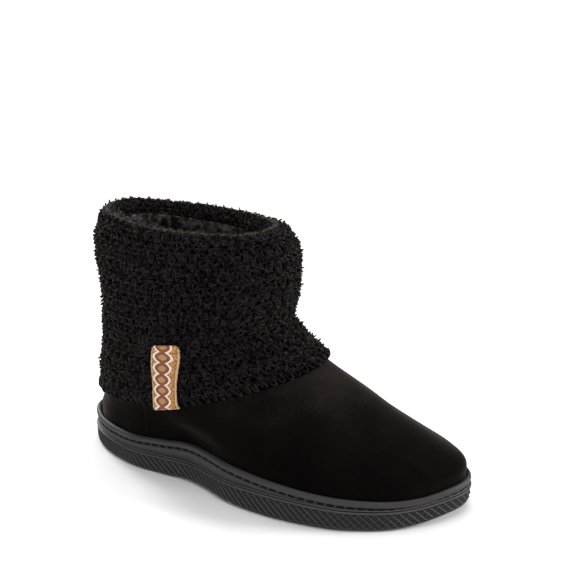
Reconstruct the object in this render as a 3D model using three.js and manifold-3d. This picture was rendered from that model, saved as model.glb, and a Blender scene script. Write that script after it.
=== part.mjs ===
// A right-foot bootie slipper: a moulded cup sole, a soft suede upper and a folded knitted cuff.
// Millimetres. +X runs to the toe, +Y to the inner (medial) side, +Z up.
// The origin lies on the floor under the centre of the heel.
import * as THREE from "three";
import { mergeVertices } from "three/addons/utils/BufferGeometryUtils.js";
import Module from "manifold-3d";

// Driving sizes of the sole
const soleLength = 263;
const ballWidth = 95;
const heelSeat = 38; // from the back of the heel to its centre
const toeSwing = 13.9; // how far the toe's tip lies towards the inner side
const lipHeight = 24.5; // top of the sole's lip at the back of the heel
const bandHeight = 12; // top of the patterned foxing band at the heel
const toeSpring = 5.5;
const archRise = 1.5;
const cupDepth = 11.5; // from the lip down to the bed that the upper stands on
const lipBead = 4.3; // height of the rounded lip above the stitched groove
const grooveWidth = 1.4;
const grooveDepth = 1.2;
const lipRound = 1.9; // radius of the lip's upper edge
const wallInset = 0.5; // how far the plain wall is set back from the lip and the band
const ribHeight = 0.9; // the fine rib between the plain wall and the band
const ribProud = 0.5;
const bottomEdge = 4.5; // radius of the sole's lower edge
const treadDepth = 1.2;
const treadWidth = 2.4;
const treadPitch = 11;
const treadMargin = 9; // plain border left round the tread
const treadStretches = [[0.08, 0.3], [0.55, 0.9]]; // heel and forefoot, as shares of the length

// Driving sizes of the upper, the cuff and what is sewn to it
const collarHeight = 161.5; // top edge of the upper at the back
const upperWall = 3;
const ledge = 3; // how far the upper stands in from the lip's outer face
const hemThickness = 4.6;
const knitThickness = 5;
const rollThickness = 9; // the soft fold at the top, two layers of knit
const rollRise = 7.5; // how far the fold stands above the upper's edge
const turnInThickness = 4.5;
const insoleThickness = 5;
const gap = 0.3; // clearance between pieces that touch
const tabWidth = 20;
const tabTop = 94; // height of the ribbon tab's upper end
const tabPlace = 83.5; // from the back of the heel to the middle of the tab
const tabThickness = 1.2;
const tabReturn = 3; // how far the tab is folded in under the hem
const labelWidth = 21;
const labelBottom = 84;
const labelTop = 111;
const labelThickness = 1.2;

const ballHalf = ballWidth / 2;
const steps = 56; // facets round each ring

// Sole sections from heel to toe. at is a share of the length, lateral and medial are shares of
// half the ball width, lip and band are shares of their heights, spring and arch of their rises.
const soleSections = [
  { at: 0.0, lateral: 0.0, medial: 0.0, lip: 1.0, band: 1.0, spring: 0.3, arch: 0 },
  { at: 0.02, lateral: 0.25, medial: 0.25, lip: 0.97, band: 1.0, spring: 0.15, arch: 0 },
  { at: 0.06, lateral: 0.45, medial: 0.45, lip: 0.94, band: 1.0, spring: 0, arch: 0 },
  { at: 0.12, lateral: 0.61, medial: 0.61, lip: 0.93, band: 1.0, spring: 0, arch: 0 },
  { at: 0.2, lateral: 0.73, medial: 0.73, lip: 0.965, band: 1.0, spring: 0, arch: 0 },
  { at: 0.28, lateral: 0.74, medial: 0.715, lip: 1.04, band: 1.02, spring: 0, arch: 0 },
  { at: 0.36, lateral: 0.76, medial: 0.68, lip: 1.125, band: 1.06, spring: 0, arch: 0.9 },
  { at: 0.42, lateral: 0.86, medial: 0.67, lip: 1.13, band: 1.1, spring: 0, arch: 1 },
  { at: 0.48, lateral: 0.985, medial: 0.7, lip: 1.11, band: 1.15, spring: 0, arch: 0.6 },
  { at: 0.55, lateral: 1.06, medial: 0.78, lip: 1.045, band: 1.19, spring: 0, arch: 0 },
  { at: 0.62, lateral: 1.1, medial: 0.875, lip: 0.98, band: 1.19, spring: 0, arch: 0 },
  { at: 0.7, lateral: 1.1, medial: 0.93, lip: 0.905, band: 1.14, spring: 0, arch: 0 },
  { at: 0.76, lateral: 1.065, medial: 0.93, lip: 0.86, band: 1.07, spring: 0, arch: 0 },
  { at: 0.82, lateral: 0.97, medial: 0.88, lip: 0.815, band: 1.03, spring: 0, arch: 0 },
  { at: 0.88, lateral: 0.825, medial: 0.76, lip: 0.79, band: 1.03, spring: 0.12, arch: 0 },
  { at: 0.93, lateral: 0.625, medial: 0.6, lip: 0.805, band: 1.1, spring: 0.4, arch: 0 },
  { at: 0.97, lateral: 0.39, medial: 0.39, lip: 0.87, band: 1.2, spring: 0.75, arch: 0 },
  { at: 1.0, lateral: 0.0, medial: 0.0, lip: 0.93, band: 1.25, spring: 1, arch: 0 },
];

// Rings of the upper's skin from the sole's bed to the collar. back and front are shares of the
// sole's length, low and high are the ring's height at the back and the front as shares of the
// collar height, wide is a share of the outline inside the ledge, oval turns the foot's outline
// into an oval, and wave is how much of the lip line's rise and fall the ring still follows.
const upperRings = [
  { at: 2, back: 0.02, front: 0.9865, low: 0.186, high: 0.19, wide: 1.01, oval: 0.05, wave: 0.8 },
  { at: 3, back: 0.024, front: 0.965, low: 0.202, high: 0.225, wide: 1.0, oval: 0.15, wave: 0.6 },
  { at: 4, back: 0.029, front: 0.926, low: 0.217, high: 0.258, wide: 0.98, oval: 0.28, wave: 0.45 },
  { at: 5, back: 0.0335, front: 0.88, low: 0.231, high: 0.292, wide: 0.96, oval: 0.42, wave: 0.3 },
  { at: 6, back: 0.038, front: 0.82, low: 0.243, high: 0.3435, wide: 0.94, oval: 0.56, wave: 0.2 },
  { at: 7, back: 0.0415, front: 0.765, low: 0.255, high: 0.3975, wide: 0.915, oval: 0.7, wave: 0.1 },
  { at: 8, back: 0.044, front: 0.702, low: 0.267, high: 0.456, wide: 0.895, oval: 0.82, wave: 0 },
  { at: 9, back: 0.047, front: 0.644, low: 0.28, high: 0.512, wide: 0.88, oval: 0.92, wave: 0 },
  { at: 10, back: 0.056, front: 0.585, low: 0.34, high: 0.58, wide: 0.865, oval: 0.98, wave: 0 },
  { at: 11, back: 0.066, front: 0.5405, low: 0.4356, high: 0.65, wide: 0.85, oval: 1, wave: 0 },
  { at: 12, back: 0.074, front: 0.541, low: 0.515, high: 0.7, wide: 0.845, oval: 1, wave: 0 },
  { at: 13, back: 0.08, front: 0.549, low: 0.638, high: 0.77, wide: 0.84, oval: 1, wave: 0 },
  { at: 14, back: 0.0795, front: 0.5475, low: 0.785, high: 0.85, wide: 0.825, oval: 1, wave: 0 },
  { at: 15, back: 0.0785, front: 0.537, low: 0.908, high: 0.92, wide: 0.795, oval: 1, wave: 0 },
  { at: 16, back: 0.085, front: 0.519, low: 1.0, high: 0.974, wide: 0.745, oval: 1, wave: 0 },
];
const bedRing = { back: 0.018, front: 0.988, wide: 1, oval: 0, wave: 1 };
const collarRing = 16;
const hemRing = 9;
const rimDip = 2; // how far the soft rim sinks at its sides
const dipStart = 12; // the ring above which the sides sink
const ringSag = 1.8; // how late a ring climbs on its way from heel to instep
const ovalPower = 0.87; // under 1 an oval is fuller at its ends than an ellipse

// Smooth curve through a column of a table, read at u along its key column.
function through(rows, key, column, u) {
  const last = rows.length - 1;
  let i = 0;
  while (i < last - 1 && u > rows[i + 1][key]) i += 1;
  const slope = (k) => (rows[k + 1][column] - rows[k][column]) / (rows[k + 1][key] - rows[k][key]);
  const tangent = (k) => {
    if (k === 0) return slope(0);
    if (k === last) return slope(last - 1);
    const before = rows[k][key] - rows[k - 1][key];
    const after = rows[k + 1][key] - rows[k][key];
    return (slope(k - 1) * after + slope(k) * before) / (before + after);
  };
  const span = rows[i + 1][key] - rows[i][key];
  const t = (u - rows[i][key]) / span;
  const bend = t * t * (3 - 2 * t);
  return (
    rows[i][column] * (1 - bend) +
    rows[i + 1][column] * bend +
    span * tangent(i) * t * (1 - t) * (1 - t) -
    span * tangent(i + 1) * t * t * (1 - t)
  );
}

// A turn runs from 0 at the heel's back to PI at the toe's tip, and on to 2 PI along the inner side.
const turnOf = (share) => Math.acos(1 - 2 * share);
const shareOf = (turn) => (1 - Math.cos(turn)) / 2;
for (const row of soleSections) row.turn = turnOf(row.at);
const soleAt = (column, share) => through(soleSections, "turn", column, turnOf(share));
const lipTop = (share) => lipHeight * soleAt("lip", share);
const bandTop = (share) => bandHeight * soleAt("band", share);
const liftAt = (column, share) => Math.max(0, soleAt(column, share));
const treadLift = (share) => toeSpring * liftAt("spring", share) + archRise * liftAt("arch", share);
const clampShare = (x) => Math.min(1, Math.max(0, (x + heelSeat) / soleLength));

// The middle line of the foot: straight in the heel, and bending inwards from the arch to the toe.
function centreLine(x) {
  const bendStart = 0.45;
  return toeSwing * Math.max(0, (clampShare(x) - bendStart) / (1 - bendStart)) ** 1.5;
}

// Half the foot's width at a turn, as a share of half the ball width.
function footHalf(turn) {
  const side = turn <= Math.PI ? "lateral" : "medial";
  return through(soleSections, "turn", side, turn <= Math.PI ? turn : 2 * Math.PI - turn);
}

const sideOf = (turn) => (turn <= Math.PI ? -1 : 1);

// A point of the sole's outer outline, moved in by inset square to the outline.
function solePoint(turn, inset, height) {
  const place = (angle) => {
    const a = (angle + 2 * Math.PI) % (2 * Math.PI);
    const x = shareOf(a) * soleLength - heelSeat;
    return new THREE.Vector3(x, centreLine(x) + sideOf(a) * footHalf(a) * ballHalf, 0);
  };
  const nudge = 0.02;
  const along = place(turn + nudge).sub(place(turn - nudge)).normalize();
  const point = place(turn).add(new THREE.Vector3(-along.y, along.x, 0).multiplyScalar(inset));
  point.z = height;
  return point;
}

// A ring of the upper by its number: 0 on the bed, 1 at the lip, then the rows of the table.
function ringAt(level) {
  const rampLow = lipHeight / collarHeight;
  const rampHigh = (lipHeight * soleSections.at(-1).lip) / collarHeight;
  const sunk = (cupDepth - gap) / collarHeight;
  const bed = { ...bedRing, at: 0, low: rampLow - sunk, high: rampHigh - sunk };
  const lip = { ...bedRing, at: 1, low: rampLow, high: rampHigh };
  const rows = [bed, lip, ...upperRings];
  const read = (column) => through(rows, "at", column, level);
  return {
    back: read("back") * soleLength - heelSeat,
    front: read("front") * soleLength - heelSeat,
    low: read("low") * collarHeight,
    high: read("high") * collarHeight,
    wide: read("wide"),
    dip: rimDip * (Math.max(0, level - dipStart) / (collarRing - dipStart)) ** 2,
    oval: read("oval"),
    wave: read("wave"),
  };
}

// A point of the upper's skin.
function skinPoint(ring, turn) {
  const share = shareOf(turn);
  const x = ring.back + (ring.front - ring.back) * share;
  const swell = Math.abs(Math.sin(turn));
  const foot = footHalf(turn) * ballHalf - ledge * swell;
  const oval = (ballHalf - ledge) * swell ** ovalPower;
  const half = ring.wide * (foot * (1 - ring.oval) + oval * ring.oval);
  const y = centreLine(x) + sideOf(turn) * half;
  const along = clampShare(x);
  const level = lipHeight * (1 - along) + lipHeight * soleSections.at(-1).lip * along;
  const climb = (ring.high - ring.low) * share ** ringSag - ring.dip * Math.sin(turn) ** 2;
  return new THREE.Vector3(x, y, ring.low + climb + ring.wave * (lipTop(along) - level));
}

// A point beside the skin: out along the skin's normal and up along the skin.
function besideSkin(level, turn, out, up) {
  const nudge = 0.02;
  const at = (l, t) => skinPoint(ringAt(l), (t + 2 * Math.PI) % (2 * Math.PI));
  const top = Math.min(level + nudge, collarRing);
  const bottom = Math.max(level - nudge, 0);
  const rise = at(top, turn).sub(at(bottom, turn)).normalize();
  const along = at(level, turn + nudge).sub(at(level, turn - nudge)).normalize();
  const normal = new THREE.Vector3().crossVectors(along, rise).normalize();
  return at(level, turn).addScaledVector(normal, out).addScaledVector(rise, up);
}

// The turn at which a ring passes a station x on the outer side.
function lateralTurn(level, x) {
  const ring = ringAt(level);
  return turnOf((x - ring.back) / (ring.front - ring.back));
}

// The value up to which a test still holds, between two limits.
function solve(holds, from, to) {
  let low = from;
  let high = to;
  for (let i = 0; i < 30; i += 1) {
    const middle = (low + high) / 2;
    if (holds(middle)) low = middle;
    else high = middle;
  }
  return low;
}

// The level at which the skin reaches a height, at a place that depends on the level.
function levelAtHeight(height, turnAt) {
  return solve((level) => skinPoint(ringAt(level), turnAt(level)).z < height, 0, collarRing);
}

// How far the cuff's outer face stands off the skin at a level.
const cuffFaces = [
  { at: hemRing, out: hemThickness },
  { at: hemRing + 0.6, out: (hemThickness + knitThickness) / 2 },
  { at: hemRing + 1.5, out: knitThickness },
  { at: collarRing - 4, out: knitThickness },
  { at: collarRing - 2, out: knitThickness + (rollThickness - knitThickness) * 0.45 },
  { at: collarRing - 1, out: rollThickness },
  { at: collarRing, out: rollThickness * 0.88 },
];
const cuffFace = (level) => gap + through(cuffFaces, "at", "out", level);

// A closed solid from vertices and triangles, turned so that its faces point out.
function geometryOf(points, triangles) {
  let volume = 0;
  for (const [a, b, c] of triangles)
    volume += points[a].dot(new THREE.Vector3().crossVectors(points[b], points[c]));
  const faces = volume < 0 ? triangles.map(([a, b, c]) => [a, c, b]) : triangles;
  const geometry = new THREE.BufferGeometry().setFromPoints(points);
  geometry.setIndex(faces.flat());
  return mergeVertices(geometry, 1e-4);
}

// Two triangles for the quad a, b, c, d.
const quad = (a, b, c, d) => [[a, b, c], [a, c, d]];

// Bands of quads between rings of points. A tube closes on its first ring, and a body closes its
// first and last rings with quads from side to side.
function loft(rings, closesAs) {
  const n = rings[0].length;
  const triangles = [];
  const bands = closesAs === "tube" ? rings.length : rings.length - 1;
  for (let i = 0; i < bands; i += 1) {
    const next = ((i + 1) % rings.length) * n;
    for (let j = 0; j < n; j += 1) {
      const k = (j + 1) % n;
      triangles.push(...quad(i * n + j, i * n + k, next + k, next + j));
    }
  }
  if (closesAs === "body") {
    const last = (rings.length - 1) * n;
    for (let j = 0; j < n / 2; j += 1) {
      const across = [j, (n - j) % n, (n - j - 1) % n, j + 1];
      triangles.push(...quad(...across));
      triangles.push(...quad(...across.map((v) => last + v).reverse()));
    }
  }
  const real = triangles.filter(([a, b, c]) => a !== b && b !== c && c !== a);
  return geometryOf(rings.flat(), real);
}

const turns = Array.from({ length: steps }, (_, i) => (i * 2 * Math.PI) / steps);
const ringOf = (place) => turns.map(place);

// The sole: lower edge, patterned band, rib, plain wall, stitched groove, lip, and the cup inside.
function soleRings() {
  const outer = (inset, height) =>
    ringOf((turn) => solePoint(turn, inset, height(shareOf(turn))));
  const cup = (level, out) =>
    ringOf((turn) => {
      const point = besideSkin(level, turn, out, 0);
      point.z -= gap;
      return point;
    });
  const edge = [0, 30, 60, 90].map((degrees) => {
    const angle = THREE.MathUtils.degToRad(degrees);
    const inset = bottomEdge * 0.6 * (1 - Math.sin(angle));
    return outer(inset, (s) => treadLift(s) + bottomEdge * (1 - Math.cos(angle)));
  });
  return [
    ...edge,
    outer(0, bandTop),
    outer(-ribProud, (s) => bandTop(s) + ribHeight * 0.35),
    outer(-ribProud, (s) => bandTop(s) + ribHeight * 0.65),
    outer(wallInset, (s) => bandTop(s) + ribHeight),
    outer(wallInset, (s) => lipTop(s) - lipBead - grooveWidth),
    outer(wallInset + grooveDepth, (s) => lipTop(s) - lipBead - grooveWidth * 0.7),
    outer(wallInset + grooveDepth, (s) => lipTop(s) - lipBead - grooveWidth * 0.3),
    outer(lipRound * 0.1, (s) => lipTop(s) - lipBead),
    outer(0, (s) => lipTop(s) - lipRound * 0.8),
    outer(lipRound * 0.35, (s) => lipTop(s) - lipRound * 0.22),
    outer(lipRound, lipTop),
    cup(1, 2 * gap),
    cup(0, gap),
  ];
}

// Chevron grooves across the tread under the heel and the forefoot.
function treadCutters() {
  const cutters = [];
  const groove = (share) => {
    const x = share * soleLength - heelSeat;
    const reach = (side) => footHalf(side < 0 ? turnOf(share) : 2 * Math.PI - turnOf(share));
    const left = centreLine(x) - reach(-1) * ballHalf + treadMargin;
    const right = centreLine(x) + reach(1) * ballHalf - treadMargin;
    const point = 5;
    const shape = new THREE.Shape();
    shape.moveTo(x - point, left);
    shape.lineTo(x - point + treadWidth, left);
    shape.lineTo(x + treadWidth, (left + right) / 2);
    shape.lineTo(x - point + treadWidth, right);
    shape.lineTo(x - point, right);
    shape.lineTo(x, (left + right) / 2);
    shape.closePath();
    const cutter = new THREE.ExtrudeGeometry(shape, { depth: 2 * treadDepth, bevelEnabled: false });
    return cutter.translate(0, 0, treadLift(share) - treadDepth);
  };
  const pitch = treadPitch / soleLength;
  for (const [from, to] of treadStretches)
    for (let share = from; share <= to; share += pitch) cutters.push(groove(share));
  return cutters;
}

const wasm = await Module();
wasm.setup();

function toManifold(geometry) {
  const bare = geometry.clone();
  bare.deleteAttribute("normal");
  bare.deleteAttribute("uv");
  const merged = mergeVertices(bare, 1e-4);
  const mesh = new wasm.Mesh({
    numProp: 3,
    vertProperties: new Float32Array(merged.attributes.position.array),
    triVerts: new Uint32Array(merged.index.array),
  });
  return new wasm.Manifold(mesh);
}

function fromManifold(solid) {
  const mesh = solid.getMesh();
  const geometry = new THREE.BufferGeometry();
  geometry.setAttribute("position", new THREE.BufferAttribute(mesh.vertProperties, 3));
  geometry.setIndex(new THREE.BufferAttribute(mesh.triVerts, 1));
  return geometry;
}

function outsoleGeometry() {
  let solid = toManifold(loft(soleRings(), "body"));
  for (const cutter of treadCutters()) solid = solid.subtract(toManifold(cutter));
  return fromManifold(solid);
}

// The levels of the rings under the cuff, which the upper and the cuff share.
const cuffLevels = [9, 9.4, 10, 10.6, 11.2, 11.8, 12.5, 13.3, 14.2, 15, 15.6, 16];
const turnInLevels = [16, 15.6, 15];

// The upper: one hollow shell, open at the collar and underneath.
function upperGeometry() {
  const levels = [0, 1, 2, 3, 4, 5, 6, 7, 8, ...cuffLevels];
  const outer = levels.map((level) => ringOf((turn) => besideSkin(level, turn, 0, 0)));
  const inner = levels.map((level) => ringOf((turn) => besideSkin(level, turn, -upperWall, 0)));
  return loft([...outer, ...inner.reverse()], "tube");
}

// The cuff: from the hem up its outer face, over the upper's edge, and a short way down inside.
function cuffGeometry() {
  const place = (level, out, up) => ringOf((turn) => besideSkin(level, turn, out, up));
  const outerFace = cuffLevels.map((level) => place(level, cuffFace(level), 0));
  const innerFace = cuffLevels.map((level) => place(level, gap, 0));
  const inside = -upperWall - gap;
  const outerReach = cuffFace(collarRing);
  const middle = (outerReach + inside - turnInThickness) / 2;
  const crest = [30, 60, 90, 120, 150].map((degrees) => {
    const angle = THREE.MathUtils.degToRad(degrees);
    return place(
      collarRing,
      middle + (outerReach - middle) * Math.cos(angle),
      gap + rollRise * Math.sin(angle),
    );
  });
  return loft(
    [
      ...outerFace,
      ...crest,
      ...turnInLevels.map((level) => place(level, inside - turnInThickness, 0)),
      ...turnInLevels.toReversed().map((level) => place(level, inside, 0)),
      place(collarRing, inside, gap),
      place(collarRing, gap, gap),
      ...innerFace.reverse().slice(1),
    ],
    "tube",
  );
}

// The insole: a flat sock on the bed, inside the upper.
function insoleGeometry() {
  const inside = -upperWall - gap;
  const place = (inset, up) =>
    ringOf((turn) => {
      const point = besideSkin(0, turn, inside - inset, 0);
      point.z += up;
      return point;
    });
  const rounding = 1;
  return loft(
    [
      place(rounding, 0),
      place(0, rounding),
      place(0, insoleThickness - rounding),
      place(rounding, insoleThickness),
    ],
    "body",
  );
}

// A strip of cloth: rows of places across its width, from one end to the other, with two faces.
function stripGeometry(outerRows, innerRows) {
  const across = outerRows[0].length;
  const rings = outerRows.map((row, i) => [...row, ...[...innerRows[i]].reverse()]);
  const n = 2 * across;
  const triangles = [];
  for (let i = 0; i < rings.length - 1; i += 1)
    for (let j = 0; j < n; j += 1) {
      const k = (j + 1) % n;
      triangles.push(...quad(i * n + j, i * n + k, (i + 1) * n + k, (i + 1) * n + j));
    }
  const last = (rings.length - 1) * n;
  for (let j = 0; j < across - 1; j += 1) {
    const end = [j, n - 1 - j, n - 2 - j, j + 1];
    triangles.push(...quad(...end));
    triangles.push(...quad(...end.map((v) => last + v).reverse()));
  }
  return geometryOf(rings.flat(), triangles);
}

// The ribbon tab: down the cuff's outer side, round the hem and a little way in under it.
function tabGeometry() {
  const middle = tabPlace - heelSeat;
  const columns = [-0.5, -0.25, 0, 0.25, 0.5].map((share) => middle + share * tabWidth);
  const face = (x, level, away, up) => {
    const turn = lateralTurn(level, x);
    return besideSkin(level, turn, away, up);
  };
  const top = (x) => levelAtHeight(tabTop, (level) => lateralTurn(level, x));
  const outerRows = [];
  const innerRows = [];
  const rows = 8;
  const seat = (level) => cuffFace(level) + gap;
  for (let i = 0; i <= rows; i += 1) {
    const levelFor = (x) => top(x) + ((hemRing - top(x)) * i) / rows;
    outerRows.push(columns.map((x) => face(x, levelFor(x), seat(levelFor(x)) + tabThickness, 0)));
    innerRows.push(columns.map((x) => face(x, levelFor(x), seat(levelFor(x)), 0)));
  }
  const hemSeat = seat(hemRing);
  const below = -gap - tabThickness;
  outerRows.push(columns.map((x) => face(x, hemRing, hemSeat + tabThickness * 0.6, below * 0.8)));
  innerRows.push(columns.map((x) => face(x, hemRing, hemSeat, -gap)));
  outerRows.push(columns.map((x) => face(x, hemRing, hemSeat - tabReturn, below)));
  innerRows.push(columns.map((x) => face(x, hemRing, hemSeat - tabReturn, -gap)));
  return stripGeometry(outerRows, innerRows);
}

// The plain woven label on the middle of the cuff's back.
function labelGeometry() {
  const outerRows = [];
  const innerRows = [];
  const rows = 5;
  const columns = 8;
  for (let i = 0; i <= rows; i += 1) {
    const height = labelBottom + ((labelTop - labelBottom) * i) / rows;
    const level = levelAtHeight(height, () => 0);
    const seat = cuffFace(level) + 2 * gap;
    const aside = (turn) => Math.abs(besideSkin(level, turn, seat, 0).y);
    const reach = solve((turn) => aside(turn) < labelWidth / 2, 0, 1);
    const places = Array.from({ length: columns + 1 }, (_, j) => reach * ((2 * j) / columns - 1));
    outerRows.push(places.map((turn) => besideSkin(level, turn, seat + labelThickness, 0)));
    innerRows.push(places.map((turn) => besideSkin(level, turn, seat, 0)));
  }
  return stripGeometry(outerRows, innerRows);
}

function material(colour, roughness) {
  return new THREE.MeshStandardMaterial({ color: colour, roughness, metalness: 0 });
}

function named(name, geometry, finish) {
  const mesh = new THREE.Mesh(geometry, finish);
  mesh.name = name;
  return mesh;
}

const slipper = new THREE.Group();
slipper.add(
  named("outsole", outsoleGeometry(), material(0x3b393a, 0.6)),
  named("insole", insoleGeometry(), material(0x1a1819, 0.95)),
  named("upper", upperGeometry(), material(0x100f10, 0.9)),
  named("cuff", cuffGeometry(), material(0x1b1919, 0.95)),
  named("side_tab", tabGeometry(), material(0xb98247, 0.85)),
  named("heel_label", labelGeometry(), material(0xb79b88, 0.85)),
);

export default slipper;
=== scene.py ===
"""The looks of a right-foot bootie slipper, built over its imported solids.

The pieces are cut flat, as grids, strands and single stitches, and then lasted: their points are
laid on the same form that the solids have. Sizes are in millimetres until a piece is laid.
"""

import math

import bpy
import numpy as np
from mathutils import Matrix, Vector


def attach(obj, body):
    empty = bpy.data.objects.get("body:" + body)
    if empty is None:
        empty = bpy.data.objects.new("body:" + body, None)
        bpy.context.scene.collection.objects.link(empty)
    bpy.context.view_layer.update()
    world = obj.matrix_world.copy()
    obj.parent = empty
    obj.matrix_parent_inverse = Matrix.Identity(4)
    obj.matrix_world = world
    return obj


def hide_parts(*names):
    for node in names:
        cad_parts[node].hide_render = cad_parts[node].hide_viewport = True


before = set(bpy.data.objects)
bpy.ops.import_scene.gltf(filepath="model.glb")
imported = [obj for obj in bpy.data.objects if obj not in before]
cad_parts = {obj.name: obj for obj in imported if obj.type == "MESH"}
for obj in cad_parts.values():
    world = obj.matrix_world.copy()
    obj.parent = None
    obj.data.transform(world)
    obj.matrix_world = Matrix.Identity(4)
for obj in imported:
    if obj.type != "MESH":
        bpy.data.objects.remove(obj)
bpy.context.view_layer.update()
rng = np.random.default_rng(21)

MM = 0.001

# Sizes of the sole, as the solids have them
SOLE_LENGTH = 263
BALL_HALF = 47.5
HEEL_SEAT = 38
TOE_SWING = 13.9
LIP_HEIGHT = 24.5
BAND_HEIGHT = 12
TOE_SPRING = 5.5
ARCH_RISE = 1.5
CUP_DEPTH = 11.5
LIP_BEAD = 4.3
GROOVE_WIDTH = 1.4
GROOVE_DEPTH = 1.2
LIP_ROUND = 1.9
WALL_INSET = 0.5
RIB_HEIGHT = 0.9
RIB_PROUD = 0.5
BOTTOM_EDGE = 4.5
EDGE_WIDTH = BOTTOM_EDGE * 0.6
TREAD_DEPTH = 1.2
TREAD_WIDTH = 2.4
TREAD_PITCH = 11
TREAD_MARGIN = 9
TREAD_STRETCHES = ((0.08, 0.3), (0.55, 0.9))

# Sizes of the upper, the cuff and what is sewn to it, as the solids have them
COLLAR_HEIGHT = 161.5
UPPER_WALL = 3
LEDGE = 3
HEM_THICKNESS = 4.6
KNIT_THICKNESS = 5
ROLL_THICKNESS = 9
ROLL_RISE = 7.5
TURN_IN_THICKNESS = 4.5
INSOLE_THICKNESS = 5
GAP = 0.3
TAB_WIDTH = 20
TAB_TOP = 94
TAB_MIDDLE = 45.5
TAB_THICKNESS = 1.2
TAB_RETURN = 3
LABEL_WIDTH = 21
LABEL_BOTTOM = 84
LABEL_TOP = 111
LABEL_THICKNESS = 1.2

# Sections of the sole from heel to toe: share of the length, lateral and medial half widths, lip
# height, band height, toe spring and arch
SOLE_SECTIONS = np.array([
    (0.0, 0.0, 0.0, 1.0, 1.0, 0.3, 0),
    (0.02, 0.25, 0.25, 0.97, 1.0, 0.15, 0),
    (0.06, 0.45, 0.45, 0.94, 1.0, 0, 0),
    (0.12, 0.61, 0.61, 0.93, 1.0, 0, 0),
    (0.2, 0.73, 0.73, 0.965, 1.0, 0, 0),
    (0.28, 0.74, 0.715, 1.04, 1.02, 0, 0),
    (0.36, 0.76, 0.68, 1.125, 1.06, 0, 0.9),
    (0.42, 0.86, 0.67, 1.13, 1.1, 0, 1),
    (0.48, 0.985, 0.7, 1.11, 1.15, 0, 0.6),
    (0.55, 1.06, 0.78, 1.045, 1.19, 0, 0),
    (0.62, 1.1, 0.875, 0.98, 1.19, 0, 0),
    (0.7, 1.1, 0.93, 0.905, 1.14, 0, 0),
    (0.76, 1.065, 0.93, 0.86, 1.07, 0, 0),
    (0.82, 0.97, 0.88, 0.815, 1.03, 0, 0),
    (0.88, 0.825, 0.76, 0.79, 1.03, 0.12, 0),
    (0.93, 0.625, 0.6, 0.805, 1.1, 0.4, 0),
    (0.97, 0.39, 0.39, 0.87, 1.2, 0.75, 0),
    (1.0, 0.0, 0.0, 0.93, 1.25, 1, 0),
])
SOLE_COLUMNS = ("at", "lateral", "medial", "lip", "band", "spring", "arch")

# Rings of the upper's skin from the lip to the collar: number, back, front, low, high, wide, oval
# and wave
UPPER_RINGS = [
    (2, 0.02, 0.9865, 0.186, 0.19, 1.01, 0.05, 0.8),
    (3, 0.024, 0.965, 0.202, 0.225, 1.0, 0.15, 0.6),
    (4, 0.029, 0.926, 0.217, 0.258, 0.98, 0.28, 0.45),
    (5, 0.0335, 0.88, 0.231, 0.292, 0.96, 0.42, 0.3),
    (6, 0.038, 0.82, 0.243, 0.3435, 0.94, 0.56, 0.2),
    (7, 0.0415, 0.765, 0.255, 0.3975, 0.915, 0.7, 0.1),
    (8, 0.044, 0.702, 0.267, 0.456, 0.895, 0.82, 0),
    (9, 0.047, 0.644, 0.28, 0.512, 0.88, 0.92, 0),
    (10, 0.056, 0.585, 0.34, 0.58, 0.865, 0.98, 0),
    (11, 0.066, 0.5405, 0.4356, 0.65, 0.85, 1, 0),
    (12, 0.074, 0.541, 0.515, 0.7, 0.845, 1, 0),
    (13, 0.08, 0.549, 0.638, 0.77, 0.84, 1, 0),
    (14, 0.0795, 0.5475, 0.785, 0.85, 0.825, 1, 0),
    (15, 0.0785, 0.537, 0.908, 0.92, 0.795, 1, 0),
    (16, 0.085, 0.519, 1.0, 0.974, 0.745, 1, 0),
]
RING_COLUMNS = ("at", "back", "front", "low", "high", "wide", "oval", "wave")
COLLAR_RING = 16
HEM_RING = 9
RIM_DIP = 2
DIP_START = 12
RING_SAG = 1.8
OVAL_POWER = 0.87

# Sizes that the solids leave to this script
TURN = 2 * math.pi
BAND_RELIEF = 0.9
GROOVE_OPENS_HIGHER = 0.6
LOZENGE = 4.7
LOZENGE_ROW = 0.5
BAND_START = 1.3
STITCH_PITCH = 6
THREAD = 0.55
THREAD_TALL = 0.85
SIDE_SEAM = 22
TOE_CREASE = ((186.5, -15.7), (208.1, -10.2))
STITCHES = 100
STITCH_POINTS = 7
COURSES = 42
COURSE_GROUPS = 3
YARN = 0.62
YARN_DEPTH = 0.85
YARN_SUNK = 1.2
KNIT_BOTTOM = 0.03
KNIT_TOP = 0.975
MOSS_LUMPS = 48
MOSS_PITCH = 8.4
MOSS_RELIEF = 1.5
HEM_LOOPS = 76
HEM_POINTS = 14
HEM_HEIGHT = 3.3
HEM_LEAN = 0.5
HEM_YARN = 0.62

# The white studio's own light, beside its lamps
SKY_LIGHT = 0.25

# The ribbon's pattern, as shares of its width, and its waves along the tab
BRAID_MIDDLE = 0.43
WAVES = 6.6
WAVE_START = 0.04
WAVE_PLACE = 0.13
WAVE_SWING = 0.185
WAVE_POWER = 0.85
CREAM_HALF = 0.038
WAVE_SLANT = 1.3
LOZENGE_PLACE = -0.225
LOZENGE_SWING = 0.375
SELVEDGE_PLACE = 0.45
SEWN_PLACE = 0.41
SEWN_HALF = 0.018
SEWN_DASHES = 17
WEFT_ROWS = 75

# How far the cuff's outer face stands off the skin, by ring
CUFF_FACES = np.array([
    (9, HEM_THICKNESS),
    (9.6, (HEM_THICKNESS + KNIT_THICKNESS) / 2),
    (10.5, KNIT_THICKNESS),
    (12, KNIT_THICKNESS),
    (14, KNIT_THICKNESS + (ROLL_THICKNESS - KNIT_THICKNESS) * 0.45),
    (15, ROLL_THICKNESS),
    (16, ROLL_THICKNESS * 0.88),
])


# The form of the shoe


def clamp(values):
    return np.clip(values, 0, 1)


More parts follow.
